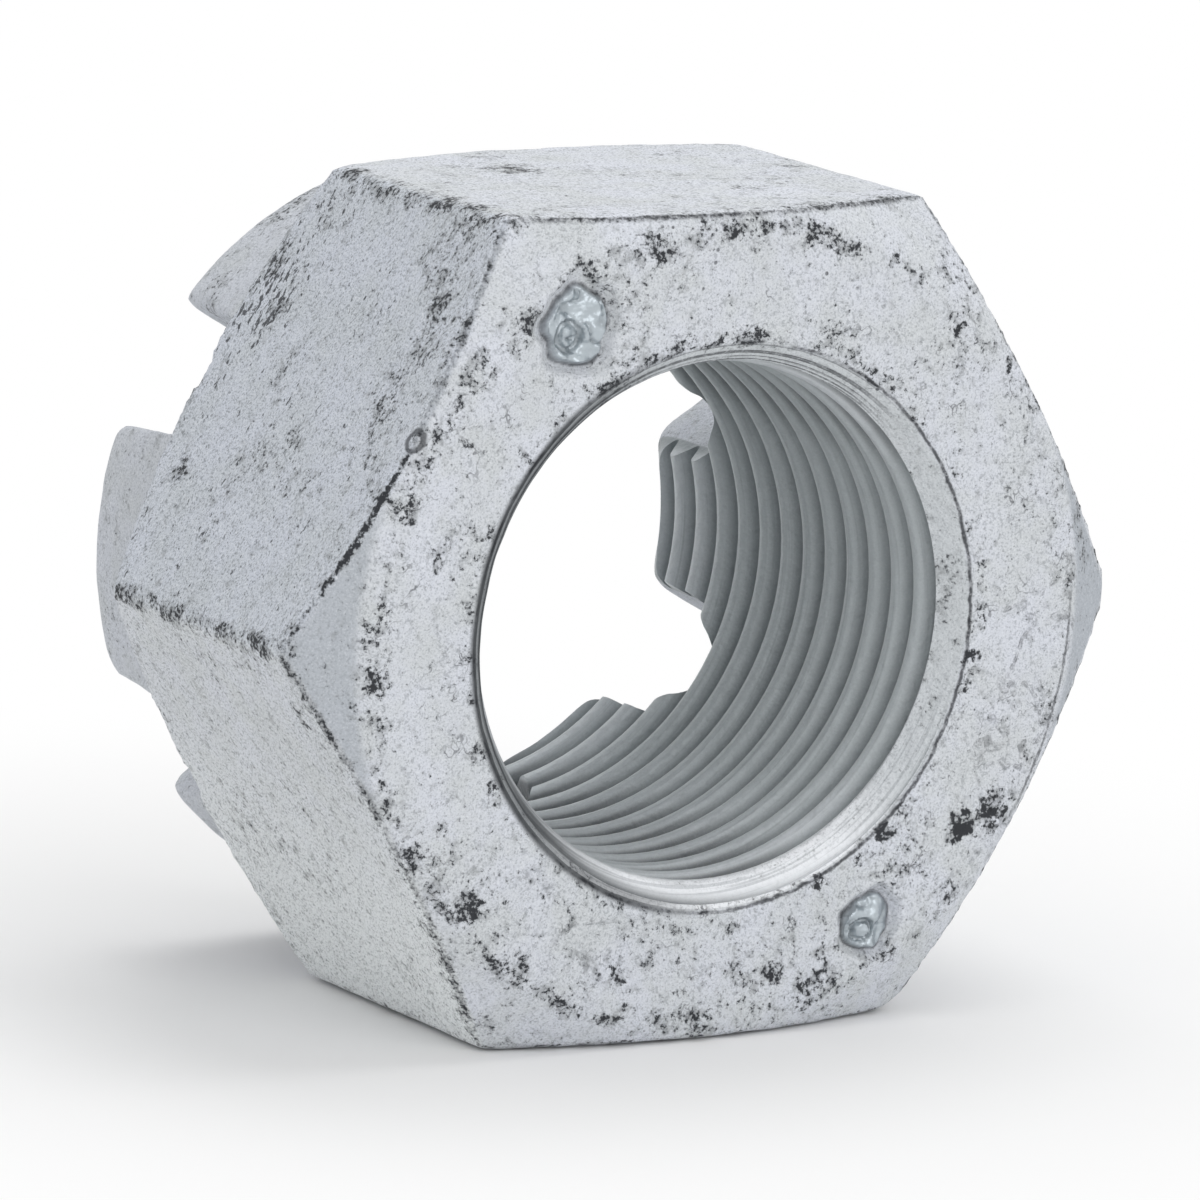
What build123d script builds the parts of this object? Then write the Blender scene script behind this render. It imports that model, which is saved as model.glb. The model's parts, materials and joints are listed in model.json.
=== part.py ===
from build123d import *
import math
import os

# Castle nut, M20 x 1.5, one piece of forged and turned steel.
#
# Frame: the thread axis is Y. The bearing face lies in the plane y = 0 and looks along -Y, and the
# slotted crown points along +Y. +Z is up, square to the top flat of the hexagon, so the nut stands
# on its lower flat. The origin is the centre of the bearing face. Millimetres.
#
# The bore is plain, at the thread's minor diameter, from the countersink to the crown's lead-in.

# Driving dimensions: hexagon
across_flats = 29.6
hex_height = 16.0
corner_radius = 0.7

# Driving dimensions: turned chamfers of the hexagon, each a cone that starts at a circle on its
# end face, with the angle between the cone and that face in degrees
bearing_circle = 28.7
bearing_chamfer_angle = 33.0
bearing_edge_radius = 2.0
crown_chamfer_angle = 35.0

# Driving dimensions: crown
total_height = 21.8
crown_diameter = 28.0
crown_end_radius = 1.2

# Driving dimensions: slots for the split pin, with a fully rounded floor
slot_pairs = 3
slot_width = 4.6
slot_depth = 6.5
slot_mouth_chamfer = 0.25

# Driving dimensions: threaded bore, with its two entry cones as included angles in degrees
thread_diameter = 20.0
thread_pitch = 1.5
countersink_diameter = 20.2
countersink_angle = 90.0
countersink_lip_radius = 0.25
crown_lead_diameter = 20.5
crown_lead_angle = 60.0

# Worked out from the values above
corner_reach = across_flats / 2 / math.cos(math.radians(30))
crown_radius = crown_diameter / 2
slot_floor = total_height - slot_depth

# Height of the thread's flank, 5/8 of the height of its sharp 60 degree triangle
thread_height = 5 / 8 * thread_pitch / 2 / math.tan(math.radians(30))
minor_radius = thread_diameter / 2 - thread_height

# How far a cutter runs past what it cuts, and how close two points count as the same
overrun = 2.0
same_place = 0.01


def turned(profile):
    """A solid of revolution about the thread axis, from a face in (radius, y)."""
    return revolve(profile, axis=Axis.Y)


def hexagon():
    """The wrench hexagon, with rounded corners and its two turned chamfers."""
    base = Plane(origin=(0, 0, 0), x_dir=(1, 0, 0), z_dir=(0, 1, 0))
    outline = RegularPolygon(radius=across_flats / 2, side_count=6, major_radius=False)
    outline = fillet(outline.vertices(), radius=corner_radius)
    prism = extrude(base * outline, amount=hex_height)

    reach = corner_reach + overrun
    bearing_radius = bearing_circle / 2
    bearing_rise = (reach - bearing_radius) * math.tan(math.radians(bearing_chamfer_angle))
    crown_fall = (reach - crown_radius) * math.tan(math.radians(crown_chamfer_angle))
    points = [
        (0, 0),
        (bearing_radius, 0),
        (reach, bearing_rise),
        (reach, hex_height - crown_fall),
        (crown_radius, hex_height),
        (0, hex_height),
    ]
    profile = make_face(Polyline(*points, close=True))
    bearing_edge = profile.vertices().sort_by_distance((bearing_radius, 0))[0]
    return prism & turned(fillet(bearing_edge, radius=bearing_edge_radius))


def crown():
    """The round crown, from inside the hexagon to the free end, with a rounded outer edge."""
    points = [(0, total_height), (0, overrun), (crown_radius, overrun), (crown_radius, total_height)]
    profile = make_face(Polyline(*points, close=True))
    outer_edge = profile.vertices().sort_by_distance((crown_radius, total_height))[0]
    return turned(fillet(outer_edge, radius=crown_end_radius))


def slot_cutters():
    """Cuts right across the crown, each two opposite slots with parallel walls and a round floor."""
    floor_centre = slot_floor + slot_width / 2
    top = total_height + overrun
    floor = Pos(0, floor_centre) * Circle(slot_width / 2)
    walls = Pos(0, (floor_centre + top) / 2) * Rectangle(slot_width, top - floor_centre)
    cutter = extrude(floor + walls, amount=corner_reach + overrun, both=True)
    return [Rot(0, i * 180 / slot_pairs, 0) * cutter for i in range(slot_pairs)]


def slot_mouth_edges(teeth):
    """The edges where the slots come out at the crown's round side and at its free end."""

    def is_outside(point):
        reach = math.hypot(point.X, point.Z)
        on_side = reach > crown_radius - crown_end_radius - same_place
        return on_side or point.Y > total_height - same_place

    cut_edges = teeth.edges().filter_by(GeomType.CIRCLE, reverse=True)
    return [edge for edge in cut_edges if is_outside(edge @ 0) and is_outside(edge @ 1)]


def slotted_crown():
    """The crown's teeth, with a broken edge all round each slot's mouth."""
    body = crown()
    for cutter in slot_cutters():
        body -= cutter
    return chamfer(slot_mouth_edges(body), length=slot_mouth_chamfer)


def slotted_hexagon():
    """The hexagon, where the slots' floors just reach into the edges of its flats."""
    body = hexagon()
    for cutter in slot_cutters():
        body -= cutter
    return body


def bore():
    """The bore at the thread's minor diameter, with the countersink and the crown's lead-in."""
    sink = countersink_diameter / 2
    sink_depth = (sink - minor_radius) / math.tan(math.radians(countersink_angle / 2))
    lead = crown_lead_diameter / 2
    lead_depth = (lead - minor_radius) / math.tan(math.radians(crown_lead_angle / 2))
    points = [
        (0, -overrun),
        (sink, -overrun),
        (sink, 0),
        (minor_radius, sink_depth),
        (minor_radius, total_height - lead_depth),
        (lead, total_height),
        (lead, total_height + overrun),
        (0, total_height + overrun),
    ]
    return turned(make_face(Polyline(*points, close=True)))


def countersink_rim(body):
    """The circle where the countersink meets the bearing face."""
    circles = body.edges().filter_by(GeomType.CIRCLE)
    on_face = [edge for edge in circles if abs((edge @ 0).Y) < same_place]
    return min(on_face, key=lambda edge: abs(edge.radius - countersink_diameter / 2))


def castle_nut():
    """The whole nut as one solid."""
    body = slotted_hexagon() + slotted_crown() - bore()
    return fillet(countersink_rim(body), radius=countersink_lip_radius)


nut = castle_nut()
print("castle_nut volume", round(nut.volume, 1), "valid", nut.is_valid, "solids", len(nut.solids()))
print("box", nut.bounding_box().min, nut.bounding_box().max)
os.makedirs("parts", exist_ok=True)
export_step(nut, "parts/castle_nut.step")
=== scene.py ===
# %% [markdown]
# # A castle nut
# A castle nut is one piece of steel: a forged hexagon for the wrench, and behind it a round crown
# whose slots take a split pin. The lesson makes it in the order of a workshop: a hexagon blank, the
# lathe, the drill, the slotting cutter, the forge's uneven skin, the tap, two small marks, and last
# a matt zinc coat with the dirt of handling in its pits and along its edges.

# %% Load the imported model
import math

import bmesh
import bpy
from mathutils import Matrix, Vector, noise
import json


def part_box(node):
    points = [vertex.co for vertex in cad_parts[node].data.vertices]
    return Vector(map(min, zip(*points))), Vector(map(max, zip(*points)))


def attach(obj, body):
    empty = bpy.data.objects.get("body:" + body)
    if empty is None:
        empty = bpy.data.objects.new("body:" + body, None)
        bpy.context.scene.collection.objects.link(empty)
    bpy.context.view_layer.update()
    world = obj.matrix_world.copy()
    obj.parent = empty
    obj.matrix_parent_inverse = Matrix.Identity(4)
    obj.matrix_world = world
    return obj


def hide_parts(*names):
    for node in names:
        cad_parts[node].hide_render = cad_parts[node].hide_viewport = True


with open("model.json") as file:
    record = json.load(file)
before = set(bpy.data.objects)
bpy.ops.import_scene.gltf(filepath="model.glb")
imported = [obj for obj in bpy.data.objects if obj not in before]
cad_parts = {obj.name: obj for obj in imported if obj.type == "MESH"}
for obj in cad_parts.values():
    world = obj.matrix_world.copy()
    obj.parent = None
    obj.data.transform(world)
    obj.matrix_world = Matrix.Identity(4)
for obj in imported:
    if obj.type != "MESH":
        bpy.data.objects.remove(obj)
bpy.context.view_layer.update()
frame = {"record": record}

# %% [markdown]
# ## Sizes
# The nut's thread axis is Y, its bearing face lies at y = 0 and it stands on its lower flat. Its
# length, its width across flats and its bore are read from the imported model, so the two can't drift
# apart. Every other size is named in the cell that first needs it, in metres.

MM = 0.001
low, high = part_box("castle_nut")
across_flats = high.z - low.z
total_height = high.y - low.y
mounts = {mount["name"]: mount for mount in frame["record"]["mounts"]}
minor_radius = mounts["thread"]["dims"]["r_mm"] * MM
print(f"across flats {across_flats / MM:.1f} mm, height {total_height / MM:.1f} mm,",
      f"bore {2 * minor_radius / MM:.2f} mm")

# %% [markdown]
# ## The hexagon blank
# The bar that the nut is forged from is a six-sided prism. A cylinder with six sides is exactly
# that. The forge leaves each long corner a little different, so each one gets a bevel of its own. A
# bevel is given by how far from the corner it starts, which on a hexagon is its radius times the
# tangent of 30 degrees. A clock face, seen from the bearing side, names the places round the nut.

# %% Helpers: take a piece, and select by place
SAME = 0.01 * MM


def take(piece):
    """Make this the one selected and active object."""
    bpy.ops.object.select_all(action="DESELECT")
    piece.select_set(True)
    bpy.context.view_layer.objects.active = piece
    return piece


def select_where(piece, kind, wanted):
    """In edit mode, select the vertices, edges or faces whose middle passes a test."""
    bpy.ops.mesh.select_mode(type=kind)
    bpy.ops.mesh.select_all(action="DESELECT")
    mesh = bmesh.from_edit_mesh(piece.data)
    parts = {"VERT": mesh.verts, "EDGE": mesh.edges, "FACE": mesh.faces}[kind]
    for part in parts:
        corners = [part] if kind == "VERT" else part.verts
        middle = sum((corner.co for corner in corners), Vector()) / len(corners)
        if wanted(middle):
            part.select_set(True)
    mesh.select_flush_mode()
    bmesh.update_edit_mesh(piece.data)


# %% Helpers: describe a piece, and find a place by the clock
def describe(piece):
    """Print how many faces a piece has, whether it is closed, and its volume."""
    mesh = bmesh.new()
    mesh.from_mesh(piece.data)
    loose = sum(1 for edge in mesh.edges if len(edge.link_faces) != 2)
    print(f"{piece.name}: {len(mesh.faces)} faces, {loose} open edges,",
          f"{mesh.calc_volume() / MM ** 3:.0f} mm3", flush=True)
    mesh.free()


def clock(hour, radius, y=0.0):
    """A point round the thread axis, by the hour seen from the bearing side."""
    turn = math.radians(30 * hour)
    return Vector((radius * math.sin(turn), y, radius * math.cos(turn)))


# %% The hexagon
hex_height = 16.0 * MM
corner_reach = across_flats / 2 / math.cos(math.radians(30))
corner_rounding = {1: 0.8 * MM, 3: 1.5 * MM, 5: 1.5 * MM, 7: 0.8 * MM, 9: 0.7 * MM, 11: 0.7 * MM}

bpy.ops.object.select_all(action="DESELECT")
bpy.ops.mesh.primitive_cylinder_add(
    vertices=6, radius=corner_reach, depth=hex_height,
    location=(0, hex_height / 2, 0), rotation=(math.pi / 2, math.pi / 6, 0))
nut = bpy.context.object
nut.name = "castle_nut_coated"
bpy.ops.object.transform_apply(location=True, rotation=True, scale=True)

bpy.ops.object.mode_set(mode="EDIT")
for hour, rounding in corner_rounding.items():
    corner = clock(hour, corner_reach, hex_height / 2)
    select_where(nut, "EDGE", lambda middle: (middle - corner).length < SAME)
    bpy.ops.mesh.bevel(offset=rounding * math.tan(math.radians(30)), segments=6, affect="EDGES")
bpy.ops.object.mode_set(mode="OBJECT")
describe(nut)

# %% [markdown]
# ## The lathe
# Both ends of the hexagon are turned to a cone, which cuts the curved edges that every nut has on
# its flats. The crown and the bore are turned too. A lathe only needs half of a cross-section: a
# wire line in (radius, y) is drawn point by point, its corners are rounded, and it is spun round
# the thread axis. The hexagon keeps what lies inside the turned blank, a Boolean intersection.

# %% Helpers: draw a profile and round its corners
def draw_profile(name, points):
    """A wire line through points given as (radius, y)."""
    bpy.ops.object.select_all(action="DESELECT")
    bpy.ops.mesh.primitive_plane_add(size=MM)
    line = bpy.context.object
    line.name = name
    bpy.ops.object.mode_set(mode="EDIT")
    bpy.ops.mesh.select_mode(type="VERT")
    bpy.ops.mesh.merge(type="CENTER")
    bpy.ops.transform.translate(value=(*points[0], 0))
    for start, end in zip(points, points[1:]):
        move = (end[0] - start[0], end[1] - start[1], 0)
        bpy.ops.mesh.extrude_vertices_move(TRANSFORM_OT_translate={"value": move})
    bpy.ops.object.mode_set(mode="OBJECT")
    return line


def round_corner(line, point, length, segments=8):
    """Round one corner of a profile, starting at this length from the corner on both sides."""
    bpy.ops.object.mode_set(mode="EDIT")
    select_where(line, "VERT", lambda place: (place - Vector((*point, 0))).length < SAME)
    bpy.ops.mesh.bevel(offset=length, segments=segments, affect="VERTICES")
    bpy.ops.object.mode_set(mode="OBJECT")


# %% Helpers: spin a profile, and combine two solids
MERGE = 0.001 * MM


def spin(line, steps=240):
    """Turn a profile into a closed solid round the thread axis."""
    take(line)
    bpy.ops.object.mode_set(mode="EDIT")
    bpy.ops.mesh.select_all(action="SELECT")
    bpy.ops.mesh.spin(steps=steps, angle=2 * math.pi, center=(0, 0, 0), axis=(0, 1, 0))
    bpy.ops.mesh.select_all(action="SELECT")
    bpy.ops.mesh.remove_doubles(threshold=MERGE)
    bpy.ops.mesh.normals_make_consistent(inside=False)
    bpy.ops.object.mode_set(mode="OBJECT")
    return line


def combine(piece, tool, operation):
    """Cut, keep or add with a second solid, which is used up."""
    take(piece)
    bpy.ops.object.modifier_add(type="BOOLEAN")
    boolean = piece.modifiers[-1]
    boolean.operation = operation
    boolean.solver = "EXACT"
    boolean.object = tool
    bpy.ops.object.modifier_apply(modifier=boolean.name)
    bpy.data.objects.remove(tool)


# %% Turn both ends of the hexagon
bearing_radius = 14.35 * MM
bearing_slope = math.tan(math.radians(33))
bearing_edge = 0.5 * MM
crown_radius = 14.0 * MM
crown_slope = math.tan(math.radians(35))
past_corner = 2 * MM

reach = corner_reach + past_corner
blank = draw_profile("turned_blank", [
    (0, 0),
    (bearing_radius, 0),
    (reach, (reach - bearing_radius) * bearing_slope),
    (reach, hex_height - (reach - crown_radius) * crown_slope),
    (crown_radius, hex_height),
    (0, hex_height)])
round_corner(blank, (bearing_radius, 0), bearing_edge)
combine(nut, spin(blank), "INTERSECT")
describe(nut)

# %% [markdown]
# ## The crown
# The crown is a plain turned ring with a soft outer edge. It starts deep inside the hexagon, so that
# a Boolean union joins the two well below the surface.

# %% Add the crown
crown_root = total_height / 2
crown_edge = 1.2 * MM

crown = draw_profile("crown", [
    (0, crown_root),
    (crown_radius, crown_root),
    (crown_radius, total_height),
    (0, total_height)])
round_corner(crown, (crown_radius, total_height), crown_edge)
combine(nut, spin(crown), "UNION")
describe(nut)

# %% [markdown]
# ## The drilled bore
# The tap comes later, so the drill leaves the bore a little small. Its two ends are cones: a wide
# countersink at the bearing face, and a steeper lead-in at the crown. They are cut now, because
# the forged skin softens their rims as the coating does on the real nut.

# %% Drill and countersink
left_for_tap = 0.6 * MM
drill_radius = minor_radius - left_for_tap
sink_radius = 10.1 * MM
lead_radius = 10.25 * MM
lead_slope = math.tan(math.radians(30))
past_end = 1 * MM

drill = draw_profile("drill", [
    (0, -past_end),
    (sink_radius + past_end, -past_end),
    (drill_radius, sink_radius - drill_radius),
    (drill_radius, total_height - (lead_radius - drill_radius) / lead_slope),
    (lead_radius + past_end * lead_slope, total_height + past_end),
    (0, total_height + past_end)])
combine(nut, spin(drill), "DIFFERENCE")
describe(nut)

# %% [markdown]
# ## The slots
# Six slots in the crown are three cuts right across it: a cutter with a round end passes over the
# nut, the nut is turned by 60 degrees, and it passes again. One cutter is modelled, and each copy
# is turned to its place. The bore is already open, so the cuts don't meet in solid metal. The two
# bevels that round the cutter's end stop just short of each other, and the strip that is left
# between them is merged.

# %% Model the slot cutter
slot_width = 4.6 * MM
slot_depth = 6.5 * MM
slot_floor = total_height - slot_depth
cutter_height = 10 * MM
cutter_length = 3 * crown_radius
floor_rounding = slot_width / 2 - SAME / 10

bpy.ops.object.select_all(action="DESELECT")
bpy.ops.mesh.primitive_cube_add(
    size=1, location=(0, slot_floor + cutter_height / 2, 0),
    scale=(slot_width, cutter_height, cutter_length))
slot_cutter = bpy.context.object
slot_cutter.name = "slot_cutter"
bpy.ops.object.transform_apply(location=True, rotation=True, scale=True)
bpy.ops.object.mode_set(mode="EDIT")
select_where(slot_cutter, "EDGE", lambda middle: (
    abs(middle.y - slot_floor) < SAME and abs(middle.z) < SAME))
bpy.ops.mesh.bevel(offset=floor_rounding, segments=12, affect="EDGES", clamp_overlap=False)
bpy.ops.mesh.select_all(action="SELECT")
bpy.ops.mesh.remove_doubles(threshold=SAME)
bpy.ops.object.mode_set(mode="OBJECT")
describe(slot_cutter)

# %% Cut the slots
for turn in (0, 60, 120):
    take(slot_cutter)
    bpy.ops.object.duplicate()
    copy = bpy.context.object
    bpy.ops.object.mode_set(mode="EDIT")
    bpy.ops.mesh.select_all(action="SELECT")
    bpy.ops.transform.rotate(value=math.radians(turn), orient_axis="Y", center_override=(0, 0, 0))
    bpy.ops.object.mode_set(mode="OBJECT")
    combine(nut, copy, "DIFFERENCE")
bpy.data.objects.remove(slot_cutter)
describe(nut)

# %% [markdown]
# ## The forged skin
# Nothing on a forged and dipped nut is quite sharp or quite flat. A voxel remesh gives the whole
# surface small even faces, and closes the few open edges that the Boolean cuts leave. A light
# smoothing takes the edge off every corner. The free ends of the crown's teeth are worn rounder than
# the rest, so a vertex group lets a longer smoothing reach them alone. Two Displace modifiers then
# press the surface in by a few hundredths of a millimetre: a slow wave from the forge, and a finer
# orange peel from the coating. Both only press inwards, so the nut never grows past its size.

# %% Remesh and soften
skin_face = 0.252 * MM


def modify(piece, kind, **settings):
    """Add one modifier, set it and apply it."""
    take(piece)
    bpy.ops.object.modifier_add(type=kind)
    modifier = piece.modifiers[-1]
    for name, value in settings.items():
        setattr(modifier, name, value)
    bpy.ops.object.modifier_apply(modifier=modifier.name)


modify(nut, "REMESH", mode="VOXEL", voxel_size=skin_face)
modify(nut, "SMOOTH", factor=0.5, iterations=2)
describe(nut)

# %% Wear the teeth of the crown
wear_from = total_height - 4.2 * MM
wear_full = total_height - 1.8 * MM


def step(value, start, end):
    """Rise smoothly from 0 at start to 1 at end."""
    part = min(max((value - start) / (end - start), 0.0), 1.0)
    return part * part * (3 - 2 * part)


worn = nut.vertex_groups.new(name="teeth")
for vertex in nut.data.vertices:
    if vertex.co.y > wear_from:
        worn.add([vertex.index], step(vertex.co.y, wear_from, wear_full), "REPLACE")
modify(nut, "SMOOTH", vertex_group="teeth", factor=0.5, iterations=50)
describe(nut)

# %% Press in the forge's waves and the orange peel
def press(piece, name, size, depth):
    """Press cloud-shaped hollows of this size and depth into a piece."""
    texture = bpy.data.textures.new(name, type="CLOUDS")
    texture.noise_scale = size
    texture.noise_depth = 2
    modify(piece, "DISPLACE", texture=texture, texture_coords="LOCAL",
           strength=depth, mid_level=1.0)


press(nut, "forge_wave", 5 * MM, 0.07 * MM)
press(nut, "orange_peel", 1.1 * MM, 0.05 * MM)
describe(nut)

# %% [markdown]
# ## The tap
# An M20 thread with 1.5 mm pitch runs through the bore. The tap is modelled, not the thread: one
# pitch of its 60 degree profile, its four corners slightly rounded, goes up a helix with the Screw
# modifier, and becomes a long threaded rod. It starts before the bearing face, two whole turns
# ahead of the groove whose middle is set at three o'clock. Cut to length and capped it is a closed
# solid, and one Boolean cut leaves a true thread with crisp run-outs in both cones. Cutting it after
# the remesh keeps its flanks clean, as the real tap does.

# %% Model the tap
pitch = 1.5 * MM
major_radius = 10.0 * MM
flank = (major_radius - minor_radius) * math.tan(math.radians(30))
root = pitch / 8
crest = pitch - 2 * flank - root
crest_rounding = 0.18 * MM
root_rounding = 0.08 * MM
groove_at_three = 1.57 * MM
turns_ahead = 2
turns = 17
steps_in_turn = 96

start = groove_at_three - pitch / 2 - turns_ahead * pitch
corners = [
    (minor_radius, start + crest / 2),
    (major_radius, start + crest / 2 + flank),
    (major_radius, start + pitch - crest / 2 - flank),
    (minor_radius, start + pitch - crest / 2)]
tap = draw_profile("tap", [(minor_radius, start), *corners, (minor_radius, start + pitch)])
for corner in corners:
    at_crest = corner[0] == minor_radius
    round_corner(tap, corner, crest_rounding if at_crest else root_rounding, segments=4)
modify(tap, "SCREW", axis="Y", screw_offset=pitch, angle=2 * math.pi, iterations=turns,
       steps=steps_in_turn, render_steps=steps_in_turn)
print("tap profile turned", turns, "times, crest", round(crest / MM, 3), "mm")

# %% Cut the tap to length and cap it
past_nut = 0.5 * MM
tap_ends = (-past_nut, total_height + past_nut)
ON_PLANE = 0.0001 * MM

take(tap)
bpy.ops.object.mode_set(mode="EDIT")
bpy.ops.mesh.select_all(action="SELECT")
bpy.ops.mesh.remove_doubles(threshold=MERGE)
for end in tap_ends:
    bpy.ops.mesh.select_all(action="SELECT")
    bpy.ops.mesh.bisect(plane_co=(0, end, 0), plane_no=(0, 1, 0), threshold=ON_PLANE,
                        clear_inner=end < 0, clear_outer=end > 0)
for end in tap_ends:
    bpy.ops.mesh.select_mode(type="EDGE")
    bpy.ops.mesh.select_all(action="DESELECT")
    mesh = bmesh.from_edit_mesh(tap.data)
    for edge in mesh.edges:
        if all(abs(corner.co.y - end) < ON_PLANE for corner in edge.verts):
            edge.select_set(True)
    bmesh.update_edit_mesh(tap.data)
    bpy.ops.mesh.edge_face_add()
bpy.ops.mesh.select_all(action="SELECT")
bpy.ops.mesh.normals_make_consistent(inside=False)
bpy.ops.object.mode_set(mode="OBJECT")
describe(tap)

# %% Cut the thread
combine(nut, tap, "DIFFERENCE")
describe(nut)

# %% [markdown]
# ## Marks and pits
# Two small marks lie opposite each other on the bearing face, at eleven and at five o'clock. Here
# they are plain: a blunt punch raised a puddle of metal with a lobed outline, a few folds and a ring
# in it. Round the face lie shallow pits where the coat didn't take. The skin's faces are too large
# for the marks' forms, so they are subdivided there, and a Displace modifier driven by a vertex
# group presses marks and pits in. The weight of a vertex is how deep it goes. The marks also leave
# two attributes that the coat reads later: one for the dirt in the outline and the painted shade in
# the folds and the ring, and one for the smooth puddle.

# %% Subdivide the skin round the marks
mark_hours = {11: 12.7 * MM, 5: 12.8 * MM}
mark_sizes = {11: 1.40 * MM, 5: 1.05 * MM}
dish_reach = 1.65
face_skin = 0.5 * MM

take(nut)
bpy.ops.object.mode_set(mode="EDIT")
for hour, radius in mark_hours.items():
    centre = clock(hour, radius)
    zone = dish_reach * mark_sizes[hour]
    select_where(nut, "FACE", lambda middle: (
        middle.y < face_skin and (middle - centre).length < zone))
    bpy.ops.mesh.subdivide(number_cuts=3)
bpy.ops.object.mode_set(mode="OBJECT")
describe(nut)

# %% [markdown]
# A mark is worked out in units of its own size, from its middle. Its outline is a circle with a few
# waves on it, shifted a little by noise. Round the outline the face is pressed in to a shallow dish,
# the puddle stands up from it unevenly, and a ring and some folds are pressed into the puddle. The
# shift takes plain noise at two places, because noise_vector differs each time Blender starts.

# %% The form of a mark
drift_size = 0.9 * MM
drift_reach = 0.1
second_place = Vector((9, 0, 0))
ring_middle = (-0.25, -0.22)
ring_radius = 0.34


def drift_at(place):
    """How far noise shifts the outline of a mark at a place, aside and up."""
    there = place / drift_size
    return Vector((noise.noise(there), 0, noise.noise(there + second_place))) * drift_reach


def lobed_outline(turn):
    """How far a mark reaches in this direction, about 1."""
    lobes = 0.05 * math.cos(2 * turn + 0.6) + 0.05 * math.cos(3 * turn + 1)
    return 1 + lobes + 0.04 * math.cos(5 * turn) + 0.03 * math.cos(8 * turn)


def mark_at(place):
    """How deep a mark goes at a place, from 0 to 1, its dirt and painted shade, and its puddle."""
    for hour, radius in mark_hours.items():
        offset = (place - clock(hour, radius)) / mark_sizes[hour]
        if offset.length < dish_reach:
            drift = drift_at(place)
            outline = lobed_outline(math.atan2(offset.z, offset.x) + hour)
            away = math.hypot(offset.x + drift.x, offset.z + drift.z) / outline
            ring = abs(math.hypot(offset.x - ring_middle[0] + drift.z / 4,
                                  offset.z - ring_middle[1]) - ring_radius)
            dish = 1 - step(away, 0.98, 1.35)
            puddle = 1 - step(away, 0.82, 0.97)
            groove = 1 - step(ring, 0.04, 0.13)
            fold = 1 - step(abs(noise.noise(place / (0.8 * MM))), 0.02, 0.16)
            fold = fold * step(ring, 0.13, 0.25)
            swell = step(noise.noise(place / (0.75 * MM)), -0.4, 0.4)
            sunk = 0.6 * swell + 0.25 * fold + 0.45 * groove
            depth = max(dish - puddle * (1 - sunk), 0)
            # Dirt in the outline, and painted shade in the folds and in the ring's groove.
            dirt = 1 - step(abs(away - 0.95), 0.02, 0.08)
            dirt = max(dirt, 0.35 * fold * puddle, 0.5 * groove * puddle)
            return min(depth, 1), dirt, puddle
    return 0.0, 0.0, 0.0


# %% [markdown]
# Each stain on the bearing face is named by its hour and its distance from the axis, and has a size,
# both in millimetres. A pit lies in the middle of it, and the coat puts its dirt there later.

# %% Where the pits lie
stains = {
    (4.1, 13.4): 1.3, (4.3, 12.8): 0.9, (5.65, 12.7): 0.9, (5.45, 13.6): 0.9, (6.1, 13.9): 0.6,
    (7.6, 13.6): 1.2, (7.15, 13.8): 0.8, (8.9, 14.0): 1.1, (8.75, 14.6): 0.8, (9.5, 12.2): 0.5,
    (10.1, 13.0): 0.7, (11.55, 14.0): 1.1, (11.2, 14.4): 0.9, (0.4, 14.1): 0.9, (0.9, 14.2): 0.7,
    (1.4, 13.7): 0.6, (1.75, 14.5): 0.5, (2.9, 14.3): 0.5, (6.6, 12.6): 0.8}


def pit_at(place):
    """How deep a pit goes at a place, from 0 to 1."""
    depth = 0.0
    for (hour, radius), size in stains.items():
        away = (place - clock(hour, radius * MM)).length / (size * MM)
        depth = max(depth, 1 - step(away, 0.1, 0.5))
    return depth


# %% Press in the marks and the pits
mark_depth = 0.40 * MM
pit_share = 0.3

marked = {}
for vertex in nut.data.vertices:
    if vertex.co.y < face_skin:
        depth, dirt, puddle = mark_at(vertex.co)
        depth = max(depth, pit_share * pit_at(vertex.co))
        if depth + dirt + puddle > 0:
            marked[vertex.index] = (depth, dirt, puddle)

depths = nut.vertex_groups.new(name="mark_depth")
for index, (depth, _, _) in marked.items():
    depths.add([index], depth, "REPLACE")
for column, name in ((1, "mark_dirt_and_shade"), (2, "mark_puddle")):
    values = nut.data.attributes.new(name, "FLOAT", "POINT")
    for index, found in marked.items():
        values.data[index].value = found[column]
modify(nut, "DISPLACE", vertex_group="mark_depth", direction="Y", strength=mark_depth, mid_level=0.0)
print("marks and pits pressed on", len(marked), "vertices")

# %% Shade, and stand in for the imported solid
sharp_from = math.radians(40)

take(nut)
bpy.ops.object.shade_smooth_by_angle(angle=sharp_from)
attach(nut, "root")
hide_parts("castle_nut")
triangles = sum(len(face.vertices) - 2 for face in nut.data.polygons)
print("nut finished with", triangles, "triangles")

# %% [markdown]
# ## Shader maths
# A finish is built from masks: numbers from 0 to 1 that say how much dirt, speckle or thread there
# is at a point. One small class wraps a socket, so masks can be added and multiplied as in a sum.
# Every other node comes from its one method, which takes the node's type, settings and inputs.

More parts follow.
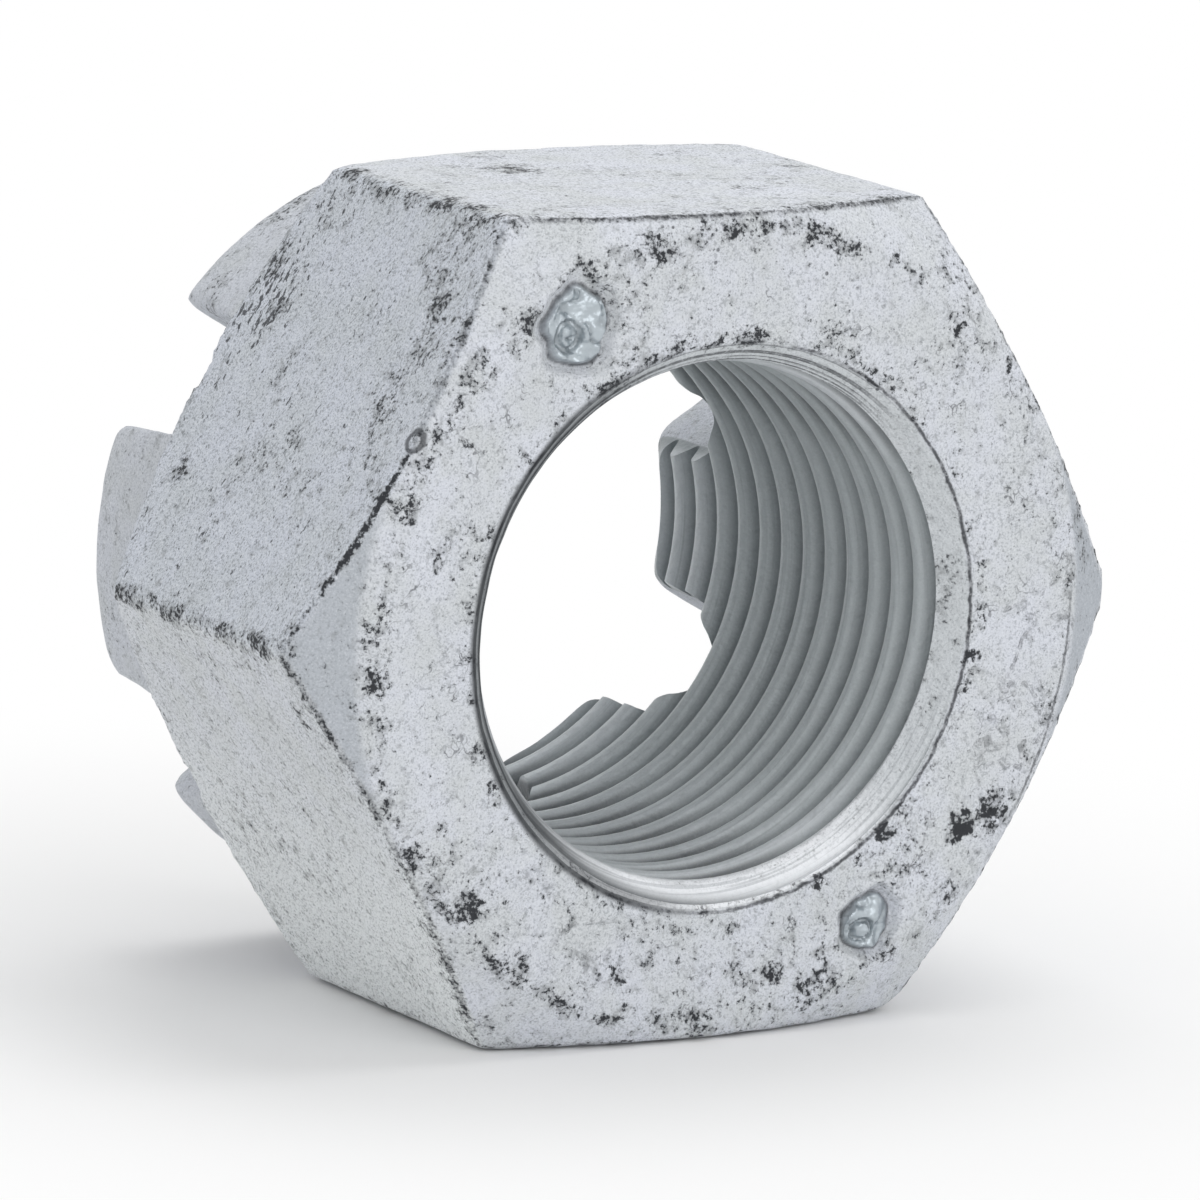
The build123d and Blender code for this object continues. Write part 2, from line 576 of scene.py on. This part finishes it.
# %% A socket that can be used in sums
class Socket:
    """An output of a shader node."""

    def __init__(self, tree, output=None):
        self.tree = tree
        self.output = output

    def node(self, kind, settings=None, inputs=None, output=0):
        """Add a node: its settings first, then a value or a link for each input."""
        node = self.tree.nodes.new(kind)
        for name, value in (settings or {}).items():
            setattr(node, name, value)
        for name, value in (inputs or {}).items():
            if isinstance(value, Socket):
                self.tree.links.new(value.output, node.inputs[name])
            else:
                node.inputs[name].default_value = value
        return Socket(self.tree, node.outputs[output] if node.outputs else None)

    def maths(self, operation, *values):
        return self.node("ShaderNodeMath", {"operation": operation}, dict(enumerate(values)))

    def __add__(self, other):
        return self.maths("ADD", self, other)

    def __sub__(self, other):
        return self.maths("SUBTRACT", self, other)

    def __mul__(self, other):
        return self.maths("MULTIPLY", self, other)

    def __truediv__(self, other):
        return self.maths("DIVIDE", self, other)

    def __pow__(self, other):
        return self.maths("POWER", self, other)

    def __rsub__(self, other):
        return self.maths("SUBTRACT", other, self)

    def __abs__(self):
        return self.maths("ABSOLUTE", self)

    __radd__ = __add__
    __rmul__ = __mul__

    def either(self, other):
        """The larger of two masks."""
        return self.maths("MAXIMUM", self, other)

    def fade(self, start, end):
        """A mask that goes smoothly from 0 where this is start to 1 where it is end."""
        return self.node("ShaderNodeMapRange", {"interpolation_type": "SMOOTHSTEP"},
                         {"Value": self, "From Min": start, "From Max": end})

    def noise(self, scale, detail=2.0, roughness=0.5, stretch=(1, 1, 1), shift=0.0, output=0):
        """Noise at this point, with about this many blobs to the millimetre."""
        point = self.node("ShaderNodeMapping", None,
                          {"Vector": self, "Location": (shift, shift, shift), "Scale": stretch})
        return self.node("ShaderNodeTexNoise", None, {
            "Vector": point, "Scale": scale, "Detail": detail, "Roughness": roughness}, output)

    def blend(self, first, second):
        """A colour that goes from the first to the second by this mask."""
        return self.node("ShaderNodeMix", {"data_type": "RGBA"},
                         {"Factor": self, "A": first, "B": second}, output="Result")


# %% An empty material
def new_material(name):
    """A material with no nodes, and a socket to start its nodes from."""
    material = bpy.data.materials.new(name)
    material.use_nodes = True
    material.node_tree.nodes.clear()
    return material, Socket(material.node_tree)


# %% [markdown]
# ## The zinc coat
# The coat is a matt, pale, bluish grey powder. Dirt, the darker thread, the smoother turned and
# punched places and a few folds break it up on the real nut. All of it is laid out on Object
# coordinates, in millimetres, so it stays on the metal from every side. The masks use what the lathe
# used: the distance from the axis, the hour round the clock, and the height of the two cones. A
# second set of places, shifted by noise, gives stains a ragged outline.

# %% Places on the coat
raggedness = 0.8

coat, coat_nodes = new_material("zinc_flake_coat")
metres = coat_nodes.node("ShaderNodeTexCoord", output="Object")
place = metres.node("ShaderNodeVectorMath", {"operation": "SCALE"}, {"Vector": metres, "Scale": 1 / MM})
x, y, z = (place.node("ShaderNodeSeparateXYZ", None, {"Vector": place}, output=axis) for axis in "XYZ")
radius = (x * x + z * z) ** 0.5

tatter = place.noise(1.4, detail=2, roughness=0.65, output="Color")
tatter = tatter.node("ShaderNodeVectorMath", {"operation": "MULTIPLY_ADD"}, {
    0: tatter, 1: (2 * raggedness,) * 3, 2: (-raggedness,) * 3}, output="Vector")
ragged = place.node("ShaderNodeVectorMath", {"operation": "ADD"}, {0: place, 1: tatter}, output="Vector")


# %% Helpers: masks round a point, towards an hour and along a line
corner_inset = 0.3


def near(point, reach):
    """A mask with a ragged outline round one point, in metres, that ends at this reach in mm."""
    gap = ragged.node("ShaderNodeVectorMath", {"operation": "DISTANCE"},
                      {0: ragged, 1: tuple(point / MM)}, output="Value")
    return gap.fade(reach, 0.15 * reach)


def toward(hour, hours):
    """A mask round the clock: 1 at this hour, and 0 from so many hours away."""
    ahead = clock(hour, 1.0)
    facing = (x * ahead.x + z * ahead.z) / radius
    return facing.fade(math.cos(math.radians(30 * hours)), math.cos(math.radians(15 * hours)))


def outward(hour):
    """How far a place lies from the axis towards this hour, in mm."""
    ahead = clock(hour, 1.0)
    return x * ahead.x + z * ahead.z


def long_corner(hour, width):
    """A mask along the long corner at this hour, so many mm wide on each side."""
    point = clock(hour, corner_reach / MM - corner_inset)
    return (((x - point.x) ** 2.0 + (z - point.z) ** 2.0) ** 0.5).fade(width, 0.2 * width)


def band(value, middle, reach, core):
    """A mask that is 1 where a value is within the core of its middle, and 0 beyond its reach."""
    return abs(value - middle).fade(reach, core)


# %% [markdown]
# The faces of the nut are told apart by the same sizes that cut them. A place lies on a flat when it
# is far enough out towards that flat's hour. The countersink's cone stands at 45 degrees, so y and
# the radius add up to the countersink's radius on it, and to more behind it, in the thread.

# %% The bearing face and the flats
on_face = y.fade(0.45, 0.2)
at_front = y.fade(0.6, 0.4)
flat_full = across_flats / 2 / MM - 0.15
flat_start = flat_full - 0.2


def on_flat(hour):
    """A mask of the flat that looks towards this hour."""
    return outward(hour).fade(flat_start, flat_full)


flats = abs(outward(0)).either(abs(outward(2))).either(abs(outward(4))).fade(flat_start, flat_full)
flat_at_eight = on_flat(8)
flat_at_ten = on_flat(10)
flat_at_twelve = on_flat(12)

# %% The cones and the thread
cone = (radius - bearing_radius / MM) * bearing_slope
crown_cone = hex_height / MM - (radius - crown_radius / MM) * crown_slope
lead_cone = total_height / MM - (lead_radius / MM - radius) / lead_slope
wedges = band(y, cone, 0.25, 0.12) * radius.fade(14.5, 14.9) * (1 - flats)
wedges = wedges * (toward(9, 1.0) * 0.8).either(toward(3, 1.2))

sink_edge = sink_radius / MM
behind_sink = y + radius
in_thread = (radius.fade(sink_edge, sink_edge - 0.1) * behind_sink.fade(sink_edge, sink_edge + 0.3)
             * (lead_cone - y).fade(-0.1, 0.2))
in_sink = (radius.fade(sink_edge + 0.02, sink_edge - 0.1)
           * behind_sink.fade(sink_edge + 0.5, sink_edge + 0.2))

# %% [markdown]
# ## Dirt
# Handling rubs the dirt off the open faces, and it stays where nothing rubs: in the seams between
# the cones and the flats, along the long corners, round the rim of the bore and in the pits, with
# loose clusters elsewhere. One mask, wear, collects these places. It doesn't show by itself. It only
# shifts the level at which a crisp noise turns into crumbs, so they stand close together in the
# middle of a stain and thin out at its fringe.

# %% Three sizes of patches
patchy = place.noise(0.35, detail=3, shift=9.0).fade(0.40, 0.60)
blotchy = place.noise(0.9, detail=3, shift=21.0).fade(0.45, 0.62)
clusters = place.noise(0.28, detail=3, roughness=0.6, shift=3.0).fade(0.50, 0.66)

# %% Along the seams and the long corners
softened_edge = 0.08

seam_gap = abs(y - cone - softened_edge)
seam = seam_gap.fade(0.18, 0.05) * flats
seam = seam * (blotchy * 0.8).either(toward(9.63, 0.45) * 1.15).either(toward(12, 1.3) * 0.6)
seam = seam.either(seam_gap.fade(0.35, 0.05) * flat_at_eight * (blotchy * 0.5 + 0.3))
seam_line = seam_gap.fade(0.13, 0.05) * flats * (toward(12, 1.4) * 0.8).either(
    toward(8, 1.5) * 0.4).either(toward(10.7, 0.9) * (blotchy * 0.4 + 0.35))
seam_haze = seam_gap.fade(0.9, 0.1) * flats * patchy * 0.55
crown_seam = band(y, crown_cone, 0.8, 0.1) * flats * patchy * 0.4
corners = long_corner(11, 0.9).either(long_corner(9, 0.65)) * (blotchy * 0.5 + 0.45)
corners = corners.either(long_corner(7, 0.7) * patchy * 0.5)

# %% On the bearing face and round the bore
face_ring = band(radius, 14.1, 0.9, 0.1) * on_face * (patchy * 0.5 + blotchy * 0.3)
face_ring = face_ring * (1 - toward(2.7, 2.0) * 0.5)
face_edge = band(radius, 14.3, 0.45, 0.05) * at_front * toward(7.2, 1.9)
face_edge = face_edge * (blotchy * 0.5 + 0.35)
lower_face = on_face * toward(6.2, 1.9) * blotchy * 0.36
rim_grime = band(radius, 10.5, 0.55, 0.1) * on_face * blotchy * 0.6
rim_top = band(radius, 10.3, 0.5, 0.1) * on_face * toward(11.6, 1.0) * (blotchy * 0.5 + 0.45)

# %% Collect the places, and add the pits
cleaner = (toward(8, 2) * 0.25).either(flat_at_twelve * 0.2).either(toward(3, 1.9) * on_face * 0.25)
wear = clusters * (0.48 - cleaner)
for mask in (seam, seam_haze, crown_seam, face_ring, face_edge, lower_face, rim_grime, rim_top,
             corners):
    wear = wear.either(mask)
for (hour, distance), size in stains.items():
    wear = wear.either(near(clock(hour, distance * MM), size * 0.9))

# %% [markdown]
# A few stains on the flats and a few solid crusts on the face are placed one by one. A stain on a
# flat is named by its point and a crust by its hour and its distance from the axis, all in
# millimetres, as their sizes are. Flecks, squeezed along the axis by a Mapping node, cover a part of
# the flat at ten o'clock.

# %% Stains on the flats, crusts and flecks
flat_stains = {
    (-10.5, 2.9, 11.5): 1.3, (-12.3, 3.2, 8.2): 0.7, (-10.6, 14.2, 11.4): 1.1, (-11.4, 12.6, 9.9): 0.9,
    (-14.6, 13.4, 4.4): 0.9, (-15.6, 2.4, -2.5): 0.8, (-2.8, 11.0, 14.8): 1.8}
crusts = {(4.08, 13.4): 0.75, (4.27, 12.85): 0.85, (4.62, 10.4): 0.5, (5.2, 10.3): 0.5, (3.3, 10.25): 0.5}
fleck_middle = (-11.2, 14.0, 10.3)

for point, size in flat_stains.items():
    wear = wear.either(near(Vector(point) * MM, size) * 0.8)
for (hour, distance), size in crusts.items():
    wear = wear.either(near(clock(hour, distance * MM), size) * 1.7)
flecks = place.noise(2.6, detail=3, roughness=0.6, stretch=(1, 1.7, 1), shift=13.0)
fleck_zone = (y.fade(7, 14) * clusters).either(near(Vector(fleck_middle) * MM, 3.6) * 1.1)
flecks = (flecks + fleck_zone * 0.13).fade(0.65, 0.70) * flat_at_ten

# %% [markdown]
# The crumbs themselves are black cores in a grey smudge and a paler haze: three levels of two
# noises, all moved by wear. The thread stays free of them.

# %% Crumbs, smudge and haze
lumps = place.noise(2.0, detail=2, roughness=0.6, shift=50.0)
crumbs = place.noise(6.0, detail=3, roughness=0.7, shift=5.0) + lumps * 0.35
crumbly = crumbs.fade(0.5, 0.7)
bare = 1 - in_thread
gathered = crumbs + wear * 0.26
dirt = gathered.fade(0.86, 0.94) * bare
smudge = gathered.fade(0.75, 0.92) * bare
haze = (lumps + wear * 0.28).fade(0.56, 0.82) * bare

# %% [markdown]
# ## Hairlines, folds and bubbles
# Where the coat dried too thick it cracked into hairlines, ran into folds and left small bubbles,
# and a drop left one ring beside a seam. The edges of Voronoi cells make the hairlines, the points
# of finer cells make the bubbles, and a noise makes a fold wherever it crosses its middle value.

# %% Hairlines and folds
hairline_cells = place.node("ShaderNodeTexVoronoi", {"feature": "DISTANCE_TO_EDGE"}, {
    "Vector": ragged, "Scale": 0.42}, output="Distance")
hairlines = hairline_cells.fade(0.018, 0.006) * patchy * blotchy * on_face
wrinkled = (toward(3.6, 1.0) * radius.fade(11.2, 11.8)).either(toward(7.2, 0.8) * 0.6) * on_face
wrinkled = wrinkled * lumps.fade(0.40, 0.62)
wrinkles = band(place.noise(0.5, detail=2, shift=71.0), 0.5, 0.05, 0.0) * wrinkled
edge_line = band(radius + lumps * 0.2, 14.5, 0.10, 0.03) * at_front * toward(3.5, 0.7)

# %% Bubbles and one ring
drop_middle = (-12.75, 0.15, 7.5)
drop_radius = 0.56

bubble_gap = place.node("ShaderNodeTexVoronoi", None, {
    "Vector": place, "Scale": 1.5, "Randomness": 1.0}, output="Distance")
bubbles = bubble_gap.fade(0.13, 0.09) * on_face * toward(12, 2.0) * blotchy
drop_gap = place.node("ShaderNodeVectorMath", {"operation": "DISTANCE"},
                      {0: place, 1: drop_middle}, output="Value")
ring = band(drop_gap + lumps * 0.3, drop_radius, 0.16, 0.05)

# %% What the marks left for the coat
# Dirt in the marks' outlines, and painted shade in their folds and rings.
mark_dirt_and_shade = coat_nodes.node("ShaderNodeAttribute", {"attribute_name": "mark_dirt_and_shade"}, output="Fac")
puddle = coat_nodes.node("ShaderNodeAttribute", {"attribute_name": "mark_puddle"}, output="Fac")
outline = mark_dirt_and_shade * (lumps.fade(0.30, 0.60) * 0.5 + 0.5)

# %% [markdown]
# ## The rim of the bore
# The countersink was turned, and its tool left fine lines that run round the axis. Noise that is
# read only by radius and height gives such lines, because it is the same all the way round. A thin
# dark line marks the rim, and painted shade darkens the lip on its left side and low on the left.

# %% Tool lines, rim and lip
rim_line = band(radius + lumps * 0.16, 10.22, 0.09, 0.02) * on_face
rim_line = rim_line * (toward(3.6, 3.4) * 0.9).either(blotchy) * (crumbs.fade(0.50, 0.68) * 0.4 + 0.6)
drawn = coat_nodes.node("ShaderNodeCombineXYZ", None, {"X": radius, "Y": y, "Z": 0.0}, output="Vector")
tool_lines = drawn.noise(6.0, detail=2, roughness=0.6)
inside_rim = radius.fade(10.4, 10.15)
# Painted shade: the lip of the countersink is darkened on its left and low on the left, streaked by the
# tool lines.
painted_lip_shade = inside_rim * y.fade(1.6, 0.9) * toward(9.1, 2.6)
lip_below = radius.fade(9.7, 9.9) * inside_rim * at_front
painted_lip_shade = painted_lip_shade.either(lip_below * toward(7.6, 1.6) * 0.9)
painted_lip_shade = painted_lip_shade * (tool_lines.fade(0.42, 0.58) * 0.35 + 0.62)
scratches = tool_lines.fade(0.50, 0.58) * in_sink * toward(11.8, 1.9)
scratches = scratches * (crumbly * 0.6 + 0.4)
turned_lines = tool_lines.fade(0.52, 0.62) * in_sink * (1 - toward(2.5, 1.5)) * 0.35

# %% [markdown]
# ## The colour
# The powder is a fine grain with pale and dark grains in it, over a slow mottle of two greys. The
# colours are laid on in the order in which they lie on the nut: the coat of each face, with painted
# light and shade on some faces, the thread, the countersink with painted light at its bottom, the
# grain, the haze and smudge of the dirt, the puddles, the painted shade on the lip, and last all
# that is nearly black. The thread is painted darker towards its root, most at the bottom and the top
# of the bore, and painted paler towards its mouth and in the teeth: painted shade and painted light.

# %% Powder and tone
grain = place.noise(13.0, detail=2, roughness=0.7)
dots = place.noise(6.5, detail=1, roughness=0.6, shift=40.0).fade(0.60, 0.70)
speckle = grain.fade(0.50, 0.72).either(dots * 0.8)
mottle = place.noise(0.45, detail=3, roughness=0.6).fade(0.3, 0.7)
smooth_parts = (puddle * 0.85).either(in_thread * 0.8).either(in_sink * 0.3).either(wedges * 0.4)
rough_parts = 1 - smooth_parts

# %% The palette
zinc = (0.665, 0.69, 0.75, 1)
zinc_green = (0.605, 0.63, 0.65, 1)
# painted shade: the darker, bluer colour of the flat at ten o'clock
zinc_blue_shade = (0.50, 0.56, 0.66, 1)
zinc_light = (0.86, 0.88, 0.91, 1)
# the turned metal's darker tone, with painted shade on the wedges
zinc_turned_and_shaded = (0.42, 0.45, 0.49, 1)
# painted light: the paler colour that stands in for light from the floor
zinc_painted_floor_light = (0.86, 0.89, 0.90, 1)
powder_grey = (0.20, 0.22, 0.24, 1)
haze_grey = (0.25, 0.262, 0.268, 1)
smudge_grey = (0.135, 0.145, 0.155, 1)
dirt_black = (0.020, 0.022, 0.027, 1)
# thread_deep and thread_mouth are painted shade and light: darker deep in the bore, paler at its ends;
# thread_root is painted shade in the roots and the colour of the tool lines
thread_deep = (0.515, 0.555, 0.57, 1)
thread_mouth = (0.70, 0.73, 0.76, 1)
thread_root = (0.30, 0.33, 0.345, 1)
sink_pale = (0.64, 0.67, 0.69, 1)
puddle_grey = (0.46, 0.51, 0.545, 1)
# painted shade, for the lip of the countersink and the roots of the thread
painted_shade_grey = (0.055, 0.06, 0.065, 1)

# %% The coat of each face
shade = mottle.blend(zinc_green, zinc)
# Painted shade: the flat at ten o'clock is made darker and bluer than the other flats.
shade = (flat_at_ten * 0.3).blend(shade, zinc_blue_shade)
# Painted light: the flat at eight o'clock gets paler towards its bottom, as light from the floor would
# make it.
shade = (flat_at_eight * (z.fade(-2, -13) * 0.85 + 0.15)).blend(shade, zinc_painted_floor_light)
# The wedges of the cone at nine and three o'clock get the turned metal's darker tone and painted shade,
# and the crown gets darker towards its end.
shade = wedges.either(y.fade(15.5, 17.5) * 0.3).blend(shade, zinc_turned_and_shaded)

# %% The thread and the countersink
# Painted light: the thread is paler near the bearing face, at the bottom and in the teeth.
mouth = (y.fade(5.0, 0.8) * (1 - toward(3.1, 1.8) * 0.9)).either(toward(6.3, 1.8) * 0.4)
mouth = mouth.either(y.fade(15.0, 17.0) * 0.5)
# Painted shade: the thread gets darker towards its root.
thread = radius.fade(9.25, 9.85).blend(mouth.blend(thread_deep, thread_mouth), thread_root)
thread = (tool_lines.fade(0.50, 0.75) * 0.4).blend(thread, thread_root)
# Painted shade: the roots turn nearly black at the bottom and the top of the bore.
painted_root_shade = toward(6.6, 1.7).either(toward(0.9, 1.2) * 0.7)
thread = (radius.fade(9.25, 9.5) * painted_root_shade * 0.75).blend(thread, painted_shade_grey)
shade = in_thread.blend(shade, thread)
shade = (in_sink * 0.8).blend(shade, sink_pale)
# Painted light: the countersink is paler at the bottom, where it faces up towards the lamps.
shade = (in_sink * toward(6, 1.8)).blend(shade, zinc_light)
shade = turned_lines.blend(shade, powder_grey)

# %% Grain, smudges and dirt
shade = (grain.fade(0.47, 0.30) * rough_parts * (flats * 0.16 + 0.36)).blend(shade, zinc_light)
shade = (speckle * rough_parts * (flats * 0.32 + 0.5)).blend(shade, powder_grey)
shade = (haze * 0.5).blend(shade, haze_grey)
shade = (smudge * 0.6).blend(shade, smudge_grey)
shade = puddle.blend(shade, puddle_grey)
# Painted shade on the lip of the countersink.
shade = painted_lip_shade.blend(shade, painted_shade_grey)
marks = dirt.either(flecks * 0.9).either(hairlines * 0.6).either(bubbles * 0.85).either(ring * 0.8)
marks = marks.either(wrinkles * blotchy * 0.4).either(edge_line * (crumbly * 0.4 + 0.3))
marks = (marks * (1 - puddle)).either(rim_line).either(scratches * 0.7).either(outline * 0.75)
marks = marks.either(seam_line * (crumbly * 0.6 + 0.3))
shade = (marks * 0.95).blend(shade, dirt_black)

# %% [markdown]
# ## The surface
# The powder is matt and hardly metallic, and only the puddles and the turned faces are smoother. One
# Bump node adds what is too fine for the mesh. Its height is in millimetres: the grain, the lumps
# and folds of the coat, the tool lines in the thread, and the uneven metal of the puddles.

# %% The surface
puddle_lumps = place.noise(1.6, detail=1, shift=60.0) * puddle
height = grain * rough_parts * 0.035 - lumps * 0.10 + wrinkles * 0.14
height = height + tool_lines * in_thread * 0.02 + puddle_lumps * 0.22
bump = coat_nodes.node("ShaderNodeBump", None, {"Height": height, "Distance": MM, "Strength": 1.0})
sheen = 0.68 - smooth_parts * 0.28 - puddle * 0.12
surface = coat_nodes.node("ShaderNodeBsdfPrincipled", None, {
    "Base Color": shade, "Metallic": puddle * 0.5 + 0.12, "Roughness": sheen,
    "Specular IOR Level": 0.3, "Normal": bump})
coat_nodes.node("ShaderNodeOutputMaterial", None, {"Surface": surface})
nut.data.materials.clear()
nut.data.materials.append(coat)
print("coat made of", len(coat.node_tree.nodes), "nodes")

# %% [markdown]
# ## The studio
# The nut stands on a pale floor under a large soft lamp, with a second one in front of it and white
# all round. The floor keeps the nut's shadow close to it and turns to plain white farther out, where
# only what the camera and the reflections see is white, so no more light reaches the nut than a pale
# studio gives.

# %% Floor
shadow_reach = 0.02
white_from = 0.05
below_nut = (0, total_height / 2, low.z)


def seen_white(nodes):
    """1 for rays that show the background: from the camera, or off gloss and through glass."""
    rays = [nodes.node("ShaderNodeLightPath", output=name)
            for name in ("Is Camera Ray", "Is Glossy Ray", "Is Transmission Ray")]
    return rays[0].either(rays[1]).either(rays[2])


bpy.ops.object.select_all(action="DESELECT")
bpy.ops.mesh.primitive_plane_add(size=4, location=below_nut)
floor = bpy.context.object
floor.name = "studio_floor"
bpy.ops.object.transform_apply(location=True, rotation=True, scale=True)
pale, floor_nodes = new_material("pale_floor")
spot = floor_nodes.node("ShaderNodeTexCoord", output="Object")
away = spot.node("ShaderNodeVectorMath", {"operation": "DISTANCE"},
                 {0: spot, 1: below_nut}, output="Value")
matt = floor_nodes.node("ShaderNodeBsdfDiffuse", None, {"Color": (0.9, 0.9, 0.9, 1)})
white = floor_nodes.node("ShaderNodeEmission", None, {"Color": (1, 1, 1, 1), "Strength": 1.0})
mixed = floor_nodes.node("ShaderNodeMixShader", None, {
    0: away.fade(shadow_reach, white_from) * seen_white(floor_nodes), 1: matt, 2: white})
floor_nodes.node("ShaderNodeOutputMaterial", None, {"Surface": mixed})
floor.data.materials.append(pale)

# %% Sky
sky_level = 0.75

scene = bpy.context.scene
world = bpy.data.worlds.new("white_studio")
world.use_nodes = True
world.node_tree.nodes.clear()
sky_nodes = Socket(world.node_tree)
level = seen_white(sky_nodes) * (1 - sky_level) + sky_level
sky = sky_nodes.node("ShaderNodeBackground", None, {"Color": (1, 1, 1, 1), "Strength": level})
sky_nodes.node("ShaderNodeOutputWorld", None, {"Surface": sky})
scene.world = world

# %% Lamps
lamp_size = 0.32


def soft_lamp(name, stand, power):
    """A round soft lamp that looks at the origin from this place."""
    bpy.ops.object.light_add(type="AREA", location=stand)
    lamp = bpy.context.object
    lamp.name = name
    lamp.rotation_euler = Vector(stand).to_track_quat("Z", "Y").to_euler()
    lamp.data.shape = "DISK"
    lamp.data.size = lamp_size
    lamp.data.energy = power
    print(name, "gives", power, "W from", round(Vector(stand).length, 2), "m")


soft_lamp("lamp_above", (0.11, 0.05, 0.36), 0.47)
soft_lamp("lamp_in_front", (0.0, -0.37, 0.15), 0.36)

# %% [markdown]
# ## The camera
# The photograph looks at the bearing face from the left and a little from above, through a long
# lens that flattens the nut. The camera is turned to that azimuth and height, rolled by the same
# two degrees, and stepped back from the point that lies in the middle of the picture. That point is
# found from one on the thread axis, by a small step aside and down in the picture's own plane.

# %% Camera
azimuth = math.radians(-30.92)
elevation = math.radians(10.90)
roll = math.radians(1.95)
distance = 398.8 * MM
on_axis = Vector((0, 9.867 * MM, 0))
aside = Vector((0.576 * MM, -0.756 * MM, 0))

turned = (Matrix.Rotation(azimuth, 4, "Z")
          @ Matrix.Rotation(math.pi / 2 - elevation, 4, "X")
          @ Matrix.Rotation(roll, 4, "Z"))
aim = on_axis + turned @ aside
bpy.ops.object.camera_add()
camera = bpy.context.object
camera.name = "photo_camera"
camera.matrix_world = Matrix.Translation(aim + turned @ Vector((0, 0, distance))) @ turned
camera.data.lens = 335.4
camera.data.sensor_width = 36
camera.data.clip_start = 0.01
camera.data.clip_end = 20
scene.camera = camera
scene.view_settings.view_transform = "Standard"
print("camera looks at", [round(value / MM, 2) for value in aim], "mm")

# %% Import json
import json
